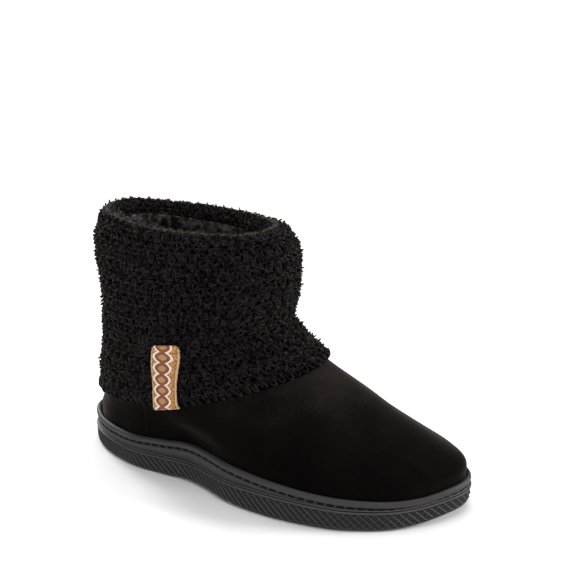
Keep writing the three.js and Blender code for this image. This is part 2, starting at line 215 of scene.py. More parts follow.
def bell(distance, power=2):
    """A smooth bump: 1 at distance 0, falling to nothing on both sides."""
    return np.exp(-(distance**power))


def steps_of(points):
    """The distances between neighbours along the first axis."""
    return np.linalg.norm(np.diff(points, axis=0), axis=-1)


def mean_height(points):
    """The mean length of a form's curves along the first axis."""
    return steps_of(points).sum(axis=0).mean()


def shares_over(points):
    """The share round a form and the share along it, for each of its points."""
    rows, columns = points.shape[:2]
    return np.linspace(0, 1, columns)[None, :], np.linspace(0, 1, rows)[:, None]


def curve_through(keys, values, u):
    """A smooth curve through a column of a table, read at u along its key column."""
    spans = np.diff(keys)
    slopes = np.diff(values) / spans
    middle = (slopes[:-1] * spans[1:] + slopes[1:] * spans[:-1]) / (spans[:-1] + spans[1:])
    tangents = np.concatenate([slopes[:1], middle, slopes[-1:]])
    i = np.clip(np.searchsorted(keys, u) - 1, 0, len(spans) - 1)
    t = (u - keys[i]) / spans[i]
    bend = t * t * (3 - 2 * t)
    straight = values[i] * (1 - bend) + values[i + 1] * bend
    leave = spans[i] * tangents[i] * t * (1 - t) ** 2
    return straight + leave - spans[i] * tangents[i + 1] * t * t * (1 - t)


def turn_of(share):
    """The turn round the shoe at a share of its length: 0 at the heel, pi at the toe's tip."""
    return np.arccos(1 - 2 * share)


def share_of(turn):
    return (1 - np.cos(turn)) / 2


sole = dict(zip(SOLE_COLUMNS, SOLE_SECTIONS.T))
sole["turn"] = turn_of(sole["at"])


def sole_at(column, share):
    return curve_through(sole["turn"], sole[column], turn_of(share))


def lip_top(share):
    return LIP_HEIGHT * sole_at("lip", share)


def band_top(share):
    return BAND_HEIGHT * sole_at("band", share)


def tread_lift(share):
    spring = np.maximum(0, sole_at("spring", share))
    arch = np.maximum(0, sole_at("arch", share))
    return TOE_SPRING * spring + ARCH_RISE * arch


def length_share(x):
    return clamp((x + HEEL_SEAT) / SOLE_LENGTH)


def centre_line(x):
    """The foot's middle line, straight in the heel and bending inwards from the arch on."""
    bend_start = 0.45
    bent = np.maximum(0, (length_share(x) - bend_start) / (1 - bend_start))
    return TOE_SWING * bent**1.5


def foot_half(turn):
    """Half the foot's width at a turn, in half ball widths."""
    lateral = curve_through(sole["turn"], sole["lateral"], np.minimum(turn, math.pi))
    medial = curve_through(sole["turn"], sole["medial"], np.minimum(TURN - turn, math.pi))
    return np.where(turn <= math.pi, lateral, medial)


def side_of(turn):
    return np.where(turn <= math.pi, -1, 1)


def outline_place(turn):
    turn = np.mod(turn, TURN)
    x = share_of(turn) * SOLE_LENGTH - HEEL_SEAT
    y = centre_line(x) + side_of(turn) * foot_half(turn) * BALL_HALF
    return np.stack([x, y, np.zeros_like(x)], -1)


def unit(vectors):
    return vectors / np.maximum(np.linalg.norm(vectors, axis=-1, keepdims=True), 1e-9)


def sole_point(turn, inset, height):
    """A point of the sole's outline, moved in by inset square to it."""
    nudge = 0.02
    along = unit(outline_place(turn + nudge) - outline_place(turn - nudge))
    inwards = np.stack([-along[..., 1], along[..., 0], np.zeros_like(turn)], -1)
    point = outline_place(turn) + inwards * np.expand_dims(inset, -1)
    point[..., 2] = height
    return point


def ring_table():
    """The upper's rings with the two below the table, on the cup's bed and at the lip."""
    ramp_low = LIP_HEIGHT / COLLAR_HEIGHT
    ramp_high = LIP_HEIGHT * sole["lip"][-1] / COLLAR_HEIGHT
    sunk = (CUP_DEPTH - GAP) / COLLAR_HEIGHT
    bed = (0, 0.018, 0.988, ramp_low - sunk, ramp_high - sunk, 1, 0, 1)
    lip = (1, 0.018, 0.988, ramp_low, ramp_high, 1, 0, 1)
    return dict(zip(RING_COLUMNS, np.array([bed, lip, *UPPER_RINGS]).T))


rings = ring_table()


def ring_at(column, level):
    return curve_through(rings["at"], rings[column], level)


def ring_ends(level):
    """Where a ring starts at the heel and ends towards the toe, along X."""
    back = ring_at("back", level) * SOLE_LENGTH - HEEL_SEAT
    return back, ring_at("front", level) * SOLE_LENGTH - HEEL_SEAT


def skin_point(level, turn):
    """A point of the upper's skin, by the number of its ring and its turn."""
    share = share_of(turn)
    back, front = ring_ends(level)
    low = ring_at("low", level) * COLLAR_HEIGHT
    high = ring_at("high", level) * COLLAR_HEIGHT
    x = back + (front - back) * share
    swell = np.abs(np.sin(turn))
    foot = foot_half(turn) * BALL_HALF - LEDGE * swell
    oval = (BALL_HALF - LEDGE) * swell**OVAL_POWER
    roundness = ring_at("oval", level)
    half = ring_at("wide", level) * (foot * (1 - roundness) + oval * roundness)
    y = centre_line(x) + side_of(turn) * half
    along = length_share(x)
    plain_lip = LIP_HEIGHT * (1 - along) + LIP_HEIGHT * sole["lip"][-1] * along
    dip = RIM_DIP * (np.maximum(0, level - DIP_START) / (COLLAR_RING - DIP_START)) ** 2
    climb = (high - low) * share**RING_SAG - dip * np.sin(turn) ** 2
    wave = ring_at("wave", level) * (lip_top(along) - plain_lip)
    return np.stack([x, y, low + climb + wave], -1)


def beside_skin(level, turn, out, up=0):
    """A point beside the skin: out along its normal and up along the skin."""
    level, turn, out, up = (np.array(a, float) for a in np.broadcast_arrays(level, turn, out, up))
    nudge = 0.02

    def at(levels, turns):
        return skin_point(levels, np.mod(turns, TURN))

    top = np.minimum(level + nudge, COLLAR_RING)
    rise = unit(at(top, turn) - at(np.maximum(level - nudge, 0), turn))
    along = unit(at(level, turn + nudge) - at(level, turn - nudge))
    normal = unit(np.cross(along, rise))
    return at(level, turn) + normal * out[..., None] + rise * up[..., None]


def cuff_face(level):
    return GAP + curve_through(CUFF_FACES[:, 0], CUFF_FACES[:, 1], level)


def evenly(points, count):
    """The curves along the first axis, each with count points at even distances."""
    steps = steps_of(points)
    reach = np.concatenate([np.zeros((1, steps.shape[1])), np.cumsum(steps, axis=0)])
    wanted = np.linspace(0, 1, count)
    even = np.empty((count, *points.shape[1:]))
    for curve in range(points.shape[1]):
        share = reach[:, curve] / reach[-1, curve]
        for axis in range(3):
            even[:, curve, axis] = np.interp(wanted, share, points[:, curve, axis])
    return even


def normals_of(points):
    """Normals of a form that closes round its second axis."""
    closed = np.concatenate([points[:, -2:-1], points, points[:, 1:2]], axis=1)
    across = np.gradient(closed, axis=1)[:, 1:-1]
    return unit(np.cross(across, np.gradient(points, axis=0)))


def on_form(form, u, v, out):
    """Points beside a form, with u round it and v along it from 0 to 1, out along its normals."""
    points, normals = form
    row = clamp(v) * (points.shape[0] - 1)
    column = np.mod(u, 1) * (points.shape[1] - 1)
    i = np.minimum(row.astype(int), points.shape[0] - 2)
    j = np.minimum(column.astype(int), points.shape[1] - 2)
    s = (row - i)[:, None]
    t = (column - j)[:, None]

    def blend(field):
        low = field[i, j] * (1 - t) + field[i, j + 1] * t
        high = field[i + 1, j] * (1 - t) + field[i + 1, j + 1] * t
        return low * (1 - s) + high * s

    return blend(points) + unit(blend(normals)) * np.expand_dims(out, -1)


# Cutting and lasting


def choose(*pieces):
    """Selects these pieces alone, the first of them as the active one."""
    bpy.ops.object.select_all(action="DESELECT")
    for piece in pieces:
        piece.select_set(True)
    bpy.context.view_layer.objects.active = pieces[0]


def flat_piece(name, across, along):
    """A flat grid from 0 to 1 both ways."""
    bpy.ops.object.select_all(action="DESELECT")
    bpy.ops.mesh.primitive_grid_add(
        x_subdivisions=across, y_subdivisions=along, size=1, location=(0.5, 0.5, 0)
    )
    bpy.ops.object.transform_apply(location=True, rotation=False, scale=False)
    piece = bpy.context.object
    piece.name = name
    piece.data.name = name
    return piece


def repeated(piece, count, step):
    """Copies a flat piece in a row, count times, with step from one to the next."""
    array = piece.modifiers.new("Row", "ARRAY")
    array.count = count
    array.use_relative_offset = False
    array.use_constant_offset = True
    array.constant_offset_displace = step
    bpy.ops.object.modifier_apply(modifier=array.name)


def lay(piece, place):
    """Lays a flat piece: place turns its flat points into points in millimetres."""
    flat = np.empty(len(piece.data.vertices) * 3, np.float32)
    piece.data.vertices.foreach_get("co", flat)
    points = place(*flat.reshape(-1, 3).T.astype(float))
    piece.data.vertices.foreach_set("co", (points * MM).astype(np.float32).ravel())
    piece.data.update()


def lasted(name, points, painted_shading=None):
    """A grid laid on rows of points, which may carry a painted shade for each point."""
    rows, columns = points.shape[:2]
    piece = flat_piece(name, columns - 1, rows - 1)

    def place(x, y, _):
        row = np.rint(y * (rows - 1)).astype(int)
        column = np.rint(x * (columns - 1)).astype(int)
        if painted_shading is not None:
            mark = piece.data.attributes.new("painted_shade", "FLOAT", "POINT")
            mark.data.foreach_set("value", painted_shading[row, column].astype(np.float32))
        return points[row, column]

    lay(piece, place)
    return piece


def close_seams(piece):
    """Merges the edges that meet, so that a lasted grid is one skin, and gives it back."""
    choose(piece)
    bpy.ops.object.mode_set(mode="EDIT")
    bpy.ops.mesh.select_all(action="SELECT")
    bpy.ops.mesh.remove_doubles(threshold=2e-6)
    bpy.ops.object.mode_set(mode="OBJECT")
    return piece


def hand_over(piece, finish, slot, *nodes):
    """Shades a finished piece, gives it its material and sets it on the shoe."""
    choose(piece)
    bpy.ops.object.shade_smooth()
    piece.data.materials.clear()
    piece.data.materials.append(finish)
    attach(piece, "root")
    if nodes:
        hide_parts(*nodes)
    return piece


# Materials


def linear(colour):
    """An sRGB hex colour as linear red, green, blue and alpha."""
    parts = [int(colour[i : i + 2], 16) / 255 for i in (1, 3, 5)]
    return [p / 12.92 if p <= 0.04045 else ((p + 0.055) / 1.055) ** 2.4 for p in parts] + [1]


def add(tree, kind, inputs, stops=(), gives=0, **settings):
    """Adds a node and returns one of its outputs. An input takes a value or another output."""
    node = tree.nodes.new(kind)
    for key, value in settings.items():
        setattr(node, key, value)
    for key, value in inputs.items():
        if isinstance(value, bpy.types.NodeSocket):
            tree.links.new(value, node.inputs[key])
        else:
            node.inputs[key].default_value = value
    for i, (place, colour) in enumerate(stops):
        if i >= len(node.color_ramp.elements):
            node.color_ramp.elements.new(place)
        node.color_ramp.elements[i].position = place
        node.color_ramp.elements[i].color = linear(colour)
    return node.outputs[gives]


def material(name, recipe, roughness, specular, **sheen):
    """A material: its recipe gives colour and relief, and values are set on the shader itself."""
    finish = bpy.data.materials.new(name)
    finish.use_nodes = True
    tree = finish.node_tree
    shader = tree.nodes["Principled BSDF"]
    colour, relief = recipe(tree)
    tree.links.new(colour, shader.inputs["Base Color"])
    tree.links.new(add(tree, "ShaderNodeBump", relief), shader.inputs["Normal"])
    values = {"Roughness": roughness, "Specular IOR Level": specular}
    values.update({key.replace("_", " "): value for key, value in sheen.items()})
    for key, value in values.items():
        shader.inputs[key].default_value = value
    return finish


def mottled(tree, scale, detail, stops, strength, distance):
    """Colour and relief from one noise on the piece's own coordinates."""
    place = add(tree, "ShaderNodeTexCoord", {}, gives="Object")
    spots = {"Vector": place, "Scale": scale, "Detail": detail}
    cloud = add(tree, "ShaderNodeTexNoise", spots)
    colour = add(tree, "ShaderNodeValToRGB", {"Fac": cloud}, stops)
    return colour, {"Height": cloud, "Strength": strength, "Distance": distance}


def suede(tree):
    # Split leather, buffed: a soft nap, almost black low on the shoe, and warmer and paler on top
    # of the foot as painted light from above. It lies in strokes 25 mm long, with clumps of nap 0.7
    # mm apart.
    place = add(tree, "ShaderNodeTexCoord", {}, gives="Object")
    height = add(tree, "ShaderNodeSeparateXYZ", {"Vector": place}, gives="Z")
    # Painted light: the suede is paler higher up the shoe, as if lit from above.
    painted_top_light = add(tree, "ShaderNodeMapRange", {0: height, 1: 0.03, 2: 0.085, 3: -0.07, 4: 0.35})
    strokes = add(tree, "ShaderNodeTexNoise", {"Vector": place, "Scale": 40, "Detail": 3})
    nap = add(tree, "ShaderNodeTexNoise", {"Vector": place, "Scale": 1400, "Detail": 2})
    tone = add(tree, "ShaderNodeMath", {0: strokes, 1: nap}, operation="ADD")
    painted_light_tone = add(tree, "ShaderNodeMath", {0: tone, 1: 0.35, 2: painted_top_light}, operation="MULTIPLY_ADD")
    stops = [(0.25, "#050404"), (0.5, "#0c0b0a"), (0.72, "#241f1d")]
    colour = add(tree, "ShaderNodeValToRGB", {"Fac": painted_light_tone}, stops)
    return colour, {"Height": nap, "Strength": 0.4, "Distance": 0.0004}


def brushed_yarn(tree):
    # Brushed acrylic and wool, 1.2 mm thick: charcoal and matt, streaky every 4 mm along the
    # yarn, with a soft halo of fibre that takes the light at its edges.
    place = add(tree, "ShaderNodeTexCoord", {}, gives="Object")
    streaks = add(tree, "ShaderNodeTexNoise", {"Vector": place, "Scale": 260, "Detail": 2})
    fibre = add(tree, "ShaderNodeTexNoise", {"Vector": place, "Scale": 1500, "Detail": 2})
    stops = [(0.38, "#060505"), (0.66, "#232122")]
    colour = add(tree, "ShaderNodeValToRGB", {"Fac": streaks}, stops)
    return colour, {"Height": fibre, "Strength": 0.3, "Distance": 0.0004}


def knit_ground_shade(tree):
    # The knit's ground behind its stitches: near black and without gloss, as painted shade in
    # the holes between the stitches.
    return mottled(tree, 700, 3, [(0.3, "#010101"), (0.7, "#050505")], 0.8, 0.001)


def loose_fibre(tree):
    # Single fibres that stand off the yarn: thin, and paler than it, because light passes them.
    return mottled(tree, 300, 2, [(0.35, "#131111"), (0.65, "#2e2a2a")], 0.2, 0.0002)


def crest_highlight_fibre(tree):
    # Fibre on the roll's crest: greyish brown, far paler than the yarn, as a painted highlight of
    # light passing through the fibres.
    return mottled(tree, 250, 2, [(0.35, "#3a3330"), (0.65, "#8c8078")], 0.2, 0.0002)


def plush(tree):
    # Black acrylic pile in locks about 4 mm wide: dark between them, greyed at their tips.
    return mottled(tree, 250, 4, [(0.42, "#040404"), (0.6, "#575150")], 0.7, 0.003)


def rubber(tree):
    # Moulded thermoplastic rubber: dark warm grey and dull, with a sandblasted grain 0.4 mm
    # wide that softens its highlights. Painted shade darkens its hollows, and a painted highlight
    # makes its raised ribs and strands paler.
    place = add(tree, "ShaderNodeTexCoord", {}, gives="Object")
    cloud = add(tree, "ShaderNodeTexNoise", {"Vector": place, "Scale": 60, "Detail": 4})
    grain = add(tree, "ShaderNodeTexNoise", {"Vector": place, "Scale": 2500, "Detail": 2})
    # Painted shade and highlight: each point's value darkens hollows and lightens raised crests.
    painted_shade = add(tree, "ShaderNodeAttribute", {}, gives="Fac", attribute_name="painted_shade")
    body = add(tree, "ShaderNodeValToRGB", {"Fac": cloud}, [(0.3, "#3d3b3b"), (0.7, "#434142")])
    depth = add(tree, "ShaderNodeMath", {0: painted_shade, 1: 0.5, 2: 0.5}, operation="MULTIPLY_ADD")
    painted_light_stops = [(0.2, "#ffffff"), (0.5, "#b4b4b4"), (0.8, "#303030")]
    painted_light_tone = add(tree, "ShaderNodeValToRGB", {"Fac": depth}, painted_light_stops)
    layers = {0: 1.0, 6: body, 7: painted_light_tone}
    colour = add(tree, "ShaderNodeMix", layers, gives=2, data_type="RGBA", blend_type="MULTIPLY")
    return colour, {"Height": grain, "Strength": 0.25, "Distance": 0.0002}


def waxed_thread(tree):
    # Waxed polyester thread, twisted: black, with a faint gloss and a twist 0.6 mm long.
    return mottled(tree, 1800, 1, [(0.35, "#020202"), (0.65, "#0a0909")], 0.5, 0.0002)


def jacquard_ribbon(tree):
    # Cotton jacquard: a tan ground with pale selvedges, and down the middle a brown braid with
    # tan lozenges, between two cream waves of scallops. The weft is drawn 0.6 mm apart.
    cloth = add(tree, "ShaderNodeUVMap", {}, uv_map="UVMap")
    x = add(tree, "ShaderNodeSeparateXYZ", {"Vector": cloth}, gives="X")
    y = add(tree, "ShaderNodeSeparateXYZ", {"Vector": cloth}, gives="Y")
    sums = [
        ("aside", "SUBTRACT", "x", BRAID_MIDDLE),
        ("across", "ABSOLUTE", "aside"),
        ("start", "MULTIPLY_ADD", "aside", WAVE_SLANT, math.pi * WAVE_START),
        ("angle", "MULTIPLY_ADD", "y", math.pi * WAVES, "start"),
        ("swing", "SINE", "angle"),
        ("wave", "ABSOLUTE", "swing"),
        ("scallop", "POWER", "wave", WAVE_POWER),
        ("line", "MULTIPLY_ADD", "scallop", WAVE_SWING, WAVE_PLACE),
        ("beyond", "SUBTRACT", "across", "line"),
        ("from_line", "ABSOLUTE", "beyond"),
        ("line_half", "MULTIPLY_ADD", "wave", -0.5 * CREAM_HALF, 1.5 * CREAM_HALF),
        ("cream", "LESS_THAN", "from_line", "line_half"),
        ("braid", "LESS_THAN", "beyond", 0.0),
        ("half", "MULTIPLY_ADD", "wave", LOZENGE_SWING, LOZENGE_PLACE),
        ("lozenge", "LESS_THAN", "across", "half"),
        ("from_middle", "SUBTRACT", "x", 0.5),
        ("edge", "ABSOLUTE", "from_middle"),
        ("selvedge", "GREATER_THAN", "edge", SELVEDGE_PLACE),
        ("row", "COMPARE", "edge", SEWN_PLACE, SEWN_HALF),
        ("paces", "MULTIPLY", "y", TURN * SEWN_DASHES),
        ("beat", "SINE", "paces"),
        ("dash", "GREATER_THAN", "beat", -0.4),
        ("sewn", "MULTIPLY", "row", "dash"),
        ("rows", "MULTIPLY", "y", TURN * WEFT_ROWS),
        ("weft", "SINE", "rows"),
        ("relief", "MULTIPLY_ADD", "cream", 3.0, "weft"),
    ]
    made = {"x": x, "y": y}
    for name, operation, *terms in sums:
        inputs = {i: made.get(term, term) for i, term in enumerate(terms)}
        made[name] = add(tree, "ShaderNodeMath", inputs, operation=operation)
    thread = add(tree, "ShaderNodeTexNoise", {"Vector": cloth, "Scale": 30, "Detail": 3})
    ground = [(0.4, "#8f5220"), (0.5, "#b87f45"), (0.6, "#e6bd88")]
    colour = add(tree, "ShaderNodeValToRGB", {"Fac": thread}, ground)
    masks = ["braid", "lozenge", "sewn", "selvedge", "cream"]
    hues = ["#8a533a", "#c08f62", "#96602c", "#dcb78a", "#fff0e0"]
    for mask, hue in zip(masks, hues):
        layers = {0: made[mask], 6: colour, 7: linear(hue)}
        colour = add(tree, "ShaderNodeMix", layers, gives=2, data_type="RGBA")
    mottle = add(tree, "ShaderNodeTexNoise", {"Vector": cloth, "Scale": 90, "Detail": 1})
    shade = add(tree, "ShaderNodeValToRGB", {"Fac": mottle}, [(0.3, "#b4b4b4"), (0.6, "#ffffff")])
    layers = {0: 1.0, 6: colour, 7: shade}
    colour = add(tree, "ShaderNodeMix", layers, gives=2, data_type="RGBA", blend_type="MULTIPLY")
    return colour, {"Height": made["relief"], "Strength": 0.5, "Distance": 0.0003}


def cotton_twill(tree):
    # Plain cotton twill: pinkish tan, matt, with fine diagonal ribs, drawn 1 mm apart to show.
    place = add(tree, "ShaderNodeTexCoord", {}, gives="Object")
    once_a_metre = 0.363
    ribs_at = {"Vector": place, "Scale": once_a_metre / MM, "Distortion": 0.4}
    ribs = add(tree, "ShaderNodeTexWave", ribs_at, bands_direction="DIAGONAL", gives="Fac")
    colour = add(tree, "ShaderNodeValToRGB", {"Fac": ribs}, [(0.2, "#b39079"), (0.8, "#c9a78f")])
    return colour, {"Height": ribs, "Strength": 0.5, "Distance": 0.0002}


def painted_board(tree):
    # A white matt studio board, a little uneven in its paint.
    return mottled(tree, 3, 2, [(0.0, "#f9f9f9"), (1.0, "#fcfcfc")], 0.02, 0.0002)


# The moulded sole


def reach_of(line):
    """The distance along a line at each of its points."""
    return np.concatenate([[0], np.cumsum(steps_of(line))])


def even_turns(count):
    """Turns at even distances along the sole's outer side, and the same turns on the inner side."""
    fine = np.linspace(0, math.pi, 2001)
    reach = reach_of(outline_place(fine))
    lateral = np.interp(np.linspace(0, reach[-1], count // 2 + 1), reach, fine)
    return np.concatenate([lateral, TURN - lateral[-2::-1]])


def sole_rows(turns, rows):
    """Rings of the sole, each from its inset and its height along the length."""
    share = share_of(turns)
    return np.stack([sole_point(turns, inset, height(share)) for inset, height in rows])


def under_lip(drop):
    return lambda share: lip_top(share) - drop


def on_band(share_up, above=0.0):
    """A height between the sole's lower edge and the top of its band."""

    def height(share):
        low = tread_lift(share) + BOTTOM_EDGE
        return low + (band_top(share) - low) * share_up + above

    return height


def edge_row(degrees):
    """A row of the rounded lower edge."""
    angle = math.radians(degrees)
    inset = EDGE_WIDTH * (1 - math.sin(angle))
    return inset, lambda share: tread_lift(share) + BOTTOM_EDGE * (1 - math.cos(angle))


def up_band(level):
    """A row of the band's face, from its start on the rounded edge (0) to the rib (1)."""

    def height(share):
        low = tread_lift(share) + BAND_START
        return low + (band_top(share) - low) * level

    def inset(share):
        above = clamp((height(share) - tread_lift(share)) / BOTTOM_EDGE)
        return EDGE_WIDTH * (1 - np.sqrt(1 - (1 - above) ** 2))

    return inset, height


def make_outsole():
    """The sole without its band: tread, lower edge, rib, wall, groove, lip and cup."""
    turns = even_turns(448)
    ground = BAND_RELIEF + 0.3
    inset = WALL_INSET
    floor = inset + GROOVE_DEPTH / 2
    bead = LIP_BEAD - GROOVE_OPENS_HIGHER
    groove = LIP_BEAD + GROOVE_WIDTH
    rows = [edge_row(degrees) for degrees in range(0, 41, 10)]
    rows += [(ground + 0.8, on_band(-0.4)), (ground, on_band(0)), (ground, on_band(1, -0.5))]
    rows += [(0, on_band(1, -0.2))]
    first_rib = [(0, 0), (0.8, 0.2), (1, 0.5), (0.7, 0.8)]
    painted_highlight_rows = [len(rows) + 1, len(rows) + 2, len(rows) + 3]
    rows += [(-RIB_PROUD * proud, on_band(1, RIB_HEIGHT * up)) for proud, up in first_rib]
    rows += [(inset, on_band(1, RIB_HEIGHT))]
    painted_shade_rows = [len(rows), len(rows) + 1]
    rows += [(inset + 0.5, on_band(1, RIB_HEIGHT + up)) for up in (0.1, 0.4)]
    second_rib = [(0, 0.5), (0.35, 0.7), (0.4, 0.95), (0.35, 1.2), (0, 1.4)]
    painted_highlight_rows += [len(rows) + 1, len(rows) + 2, len(rows) + 3]
    rows += [(inset - proud, on_band(1, RIB_HEIGHT + up)) for proud, up in second_rib]
    painted_shade_rows += [len(rows), len(rows) + 1]
    rows += [(inset + 0.4, on_band(1, RIB_HEIGHT + up)) for up in (1.5, 1.7)]
    rows += [(inset, on_band(1, RIB_HEIGHT + 1.8)), (inset, under_lip(groove + 0.5))]
    rows += [(inset + 0.15, under_lip(groove))]
    rows += [(floor, under_lip(groove - 0.35)), (floor, under_lip(bead + 0.35))]
    rows += [(0.3, under_lip(bead)), (0, under_lip(bead - 0.4)), (-0.15, under_lip(bead - 1.2))]
    for bend in np.radians(range(0, 91, 15)):
        drop = LIP_ROUND * (1 - math.sin(bend))
        rows.append((LIP_ROUND * (1 - math.cos(bend)), under_lip(drop)))
    outer = sole_rows(turns, rows)
    cup = [beside_skin(1, turns, 2 * GAP), beside_skin(0.5, turns, 1.5 * GAP)]
    cup += [beside_skin(0, turns, GAP)]
    inside = np.stack(cup) - np.array([0, 0, GAP])
    skin = np.concatenate([outer, inside])
    # Painted shade in the incised lines beside the rib, and a painted highlight on the ribs'
    # crests.
    painted_shading = np.zeros(skin.shape[:2])
    painted_shading[painted_shade_rows] = 1
    painted_shading[painted_highlight_rows] = -0.8
    wall = lasted("moulded_sole", skin, painted_shading)
    bed = lasted("sole_bed", cross_rows(inside[-1], 12))
    tread = lasted("sole_tread", tread_sheet(outer[0])[::-1])
    join(wall, bed, tread)
    return close_seams(wall)


def cross_rows(ring, count):
    """Rows from the outer side of a ring to its inner side, with count quads across."""
    half = (len(ring) - 1) // 2
    lateral = ring[: half + 1]
    medial = ring[half:][::-1]
    across = np.linspace(0, 1, count + 1)[:, None, None]
    return lateral * (1 - across) + medial * across


def tread_sheet(ring):
    """The sole's underside with its chevron grooves."""
    rows = cross_rows(ring, 48)
    x = rows[..., 0]
    y = rows[..., 1]
    share = length_share(x)
    turn = turn_of(share)
    half = foot_half(np.where(y < centre_line(x), turn, TURN - turn)) * BALL_HALF
    aside = np.abs(y - centre_line(x)) / np.maximum(half - TREAD_MARGIN, 1)
    chevron = x + HEEL_SEAT + 5 * aside
    groove = np.zeros_like(x)
    for start, end in TREAD_STRETCHES:
        begun = chevron - start * SOLE_LENGTH
        within = (begun > 0) & (chevron < end * SOLE_LENGTH) & (aside < 1)
        groove = np.where(within & (np.mod(begun, TREAD_PITCH) < TREAD_WIDTH), 1, groove)
    rows[..., 2] += TREAD_DEPTH * groove
    return rows


def make_band():
    """The foxing band: slanting strands that cross, with a smaller lozenge in every opening."""
    turns = even_turns(1500)
    share = share_of(turns)
    reach = reach_of(outline_place(turns))
    lozenges = round(reach[-1] / LOZENGE)
    along = reach / reach[-1] * lozenges
    tall = up_band(1)[1](share) - up_band(0)[1](share)
    rows = [sole_point(turns, 2.6, up_band(0)[1](share))]
    painted_shading = [0 * turns]
    for level in np.linspace(0, 0.985, 40):
        up = (level - LOZENGE_ROW) * tall / LOZENGE
        first = np.abs(2 * np.mod(along + up, 1) - 1)
        second = np.abs(2 * np.mod(along - up, 1) - 1)
        strands = np.maximum(1.25 * ridge(first, 1, 0.27), 0.75 * ridge(second, 1, 0.25))
        lozenge = 0.8 * ridge(np.maximum(first, second), 0, 0.34)
        height = np.maximum(strands, lozenge)
        border = clamp((0.96 - level) * 16) * clamp((level - 0.04) * 12)
        under_rib = 0.5 * clamp((level - 0.72) * 8)
        # Painted shade in the openings between strands and under the rib, a painted highlight on
        # the strands' tops.
        painted_shading.append((1 - 1.6 * height + under_rib * (height < 0.5)) * border)
        inset, height_at = up_band(level)
        face = inset(share) + BAND_RELIEF * (1 - height) * border
        rows.append(sole_point(turns, face, height_at(share)))
    rows.append(sole_point(turns, 1.2, up_band(0.985)[1](share) - 0.1))
    rows.append(rows[0])
    painted_shading += [0 * turns, 0 * turns]
    return close_seams(lasted("foxing_band", np.stack(rows), np.stack(painted_shading)))


def ridge(distance, middle, half):
    """A rounded ridge across a distance: 1 at its middle and 0 from half its width on."""
    return clamp(1.4 - 1.4 * np.abs(distance - middle) / half)


def make_stitches():
    """Waxed thread in the groove under the lip: stitches 4.8 mm long, 6 mm apart."""
    turns = even_turns(1200)
    height = under_lip(LIP_BEAD + 0.4)(share_of(turns))
    line = sole_point(turns, WALL_INSET + 0.35, height)
    outwards = unit(line - sole_point(turns, 4, height))
    reach = reach_of(line)
    count = round(reach[-1] / STITCH_PITCH)
    pitch = reach[-1] / count
    stitch = flat_piece("sole_stitches", 8, 6)
    repeated(stitch, count, (2, 0, 0))

    def along_line(values, distance):
        return np.stack([np.interp(distance, reach, values[:, k]) for k in range(3)], -1)

    def place(x, y, _):
        number = np.floor(x / 2 + 0.01)
        length = x - 2 * number
        distance = (number + 0.1 + 0.8 * length) * pitch
        angle = TURN * y
        blunt = clamp(1 - (2 * length - 1) ** 8) ** 0.5
        middle = along_line(line, distance)
        out = unit(along_line(outwards, distance))
        up = np.array([0, 0, 1])
        rise = THREAD_TALL * blunt * np.cos(angle)
        depth = THREAD * blunt * np.sin(angle)
        return middle + rise[:, None] * up - depth[:, None] * out

    lay(stitch, place)
    return close_seams(stitch)


# The suede upper and its insole


def make_upper():
    """The suede shell, from the cup's bed to the collar, and its plain inner face."""
    turns = np.linspace(0, TURN, 321)
    levels = np.concatenate([np.linspace(0, 9, 78), np.linspace(9, 16, 22)[1:]])[:, None]
    outer = beside_skin(levels, turns, suede_relief(levels, turns))
    edge = beside_skin(COLLAR_RING, turns, -UPPER_WALL / 2, 0.8)[None]
    inner = beside_skin(levels[::-1], turns, -UPPER_WALL)
    return close_seams(lasted("suede_upper", np.concatenate([outer, edge, inner, outer[:1]])))


def suede_relief(levels, turns):
    """The side seams that draw the suede in, its slack over the foot and a crease at the toe."""
    place = skin_point(levels + 0 * turns, np.mod(turns + 0 * levels, TURN))
    x, y, z = place[..., 0], place[..., 1], place[..., 2]
    seam = -0.5 * bell((x - SIDE_SEAM) / 0.8) + 0.3 * bell((x - SIDE_SEAM - 3) / 2.5)
    seam *= clamp((60 - z) / 10)
    start, end = np.array(TOE_CREASE)
    length = np.linalg.norm(end - start)
    along = ((x - start[0]) * (end - start)[0] + (y - start[1]) * (end - start)[1]) / length**2
    aside = ((x - start[0]) * (end - start)[1] - (y - start[1]) * (end - start)[0]) / length
    fade = bell(2 * along - 1, 4)
    crease = 0.5 * bell(aside / 2.2) - 0.5 * bell((aside - 4) / 2.2)
    slack = 0.22 * np.sin(x / 9 + y / 14) * np.sin(z / 11 - y / 17 + 1)
    slack = slack * clamp((x - 60) / 30) * clamp((z - 32) / 12)
    return seam + crease * fade + slack


def make_insole():
    """The sock on its foam board: a rounded edge, a shallow heel dish and a crowned arch."""
    turns = even_turns(256)
    inside = -UPPER_WALL - GAP

    def ring(inset, up):
        return beside_skin(0, turns, inside - inset) + np.array([0, 0, up])

    rounding = 1.5
    bends = np.radians(np.linspace(0, 90, 5))
    low = [ring(rounding * (1 - math.sin(a)), rounding * (1 - math.cos(a))) for a in bends]
    rise = INSOLE_THICKNESS - rounding
    high = [ring(rounding * (1 - math.cos(a)), rise + rounding * math.sin(a)) for a in bends]
    wall = lasted("plush_insole", np.stack([*low, *high]))
    top = cross_rows(high[-1], 36)
    across = np.linspace(-1, 1, 37)[:, None]
    dish = bell(top[..., 0] / 28) * (1 - across**2) ** 1.5
    top[..., 2] -= 1.6 * dish
    cover = lasted("insole_top", top)
    base = lasted("insole_base", cross_rows(low[0], 36)[::-1])
    join(wall, cover, base)
    return close_seams(wall)


def join(first, *others):
    """Joins pieces into the first."""
    choose(first, *others)
    bpy.ops.object.join()


# The knitted cuff


